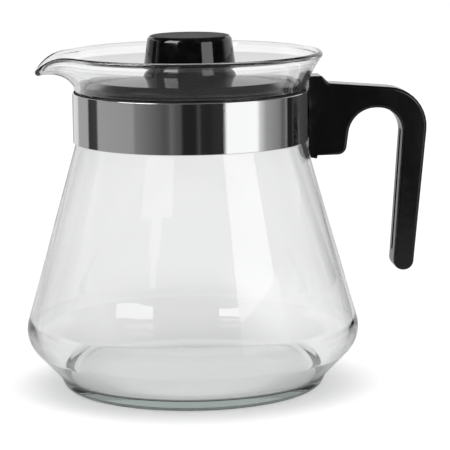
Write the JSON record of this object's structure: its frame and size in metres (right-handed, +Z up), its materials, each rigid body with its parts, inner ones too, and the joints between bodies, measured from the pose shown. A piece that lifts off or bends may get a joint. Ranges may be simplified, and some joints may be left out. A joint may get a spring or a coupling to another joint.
{
  "type": "coffee server carafe",
  "caption": "Glass coffee server with a flared rim and pouring lip, a steel neck band that clamps a black J-shaped handle, and a low-crowned lift-out lid with a knob.",
  "frame": {"origin": "centre of the glass foot, on the table", "axes": "+Z up along the vessel's axis, +X towards the handle, -X towards the pouring lip"},
  "size_m": [0.1813, 0.15, 0.1585],
  "materials": {
    "clear_glass": "clear, fire-polished",
    "liner_rubber": "matte",
    "polished_steel": "mirror polished",
    "handle_black": "satin gloss, moulded",
    "fastener_steel": "zinc plated",
    "lid_black": "gloss, moulded",
    "knob_black": "gloss, moulded"
  },
  "bodies": {
    "carafe": {"glass_vessel": "clear_glass", "band_liner": "liner_rubber", "neck_band": "polished_steel", "handle": "handle_black", "clamp_screw": "fastener_steel", "clamp_washer": "fastener_steel", "clamp_nut": "fastener_steel"},
    "lid": {"lid_cover": "lid_black", "lid_knob": "knob_black", "knob_screw": "fastener_steel", "knob_washer": "fastener_steel"}
  },
  "joints": [
    {"name": "lid_lift", "type": "slide", "parent": "carafe", "child": "lid", "axis": [0, 0, 1], "range_m": [0, 0.06]}
  ]
}
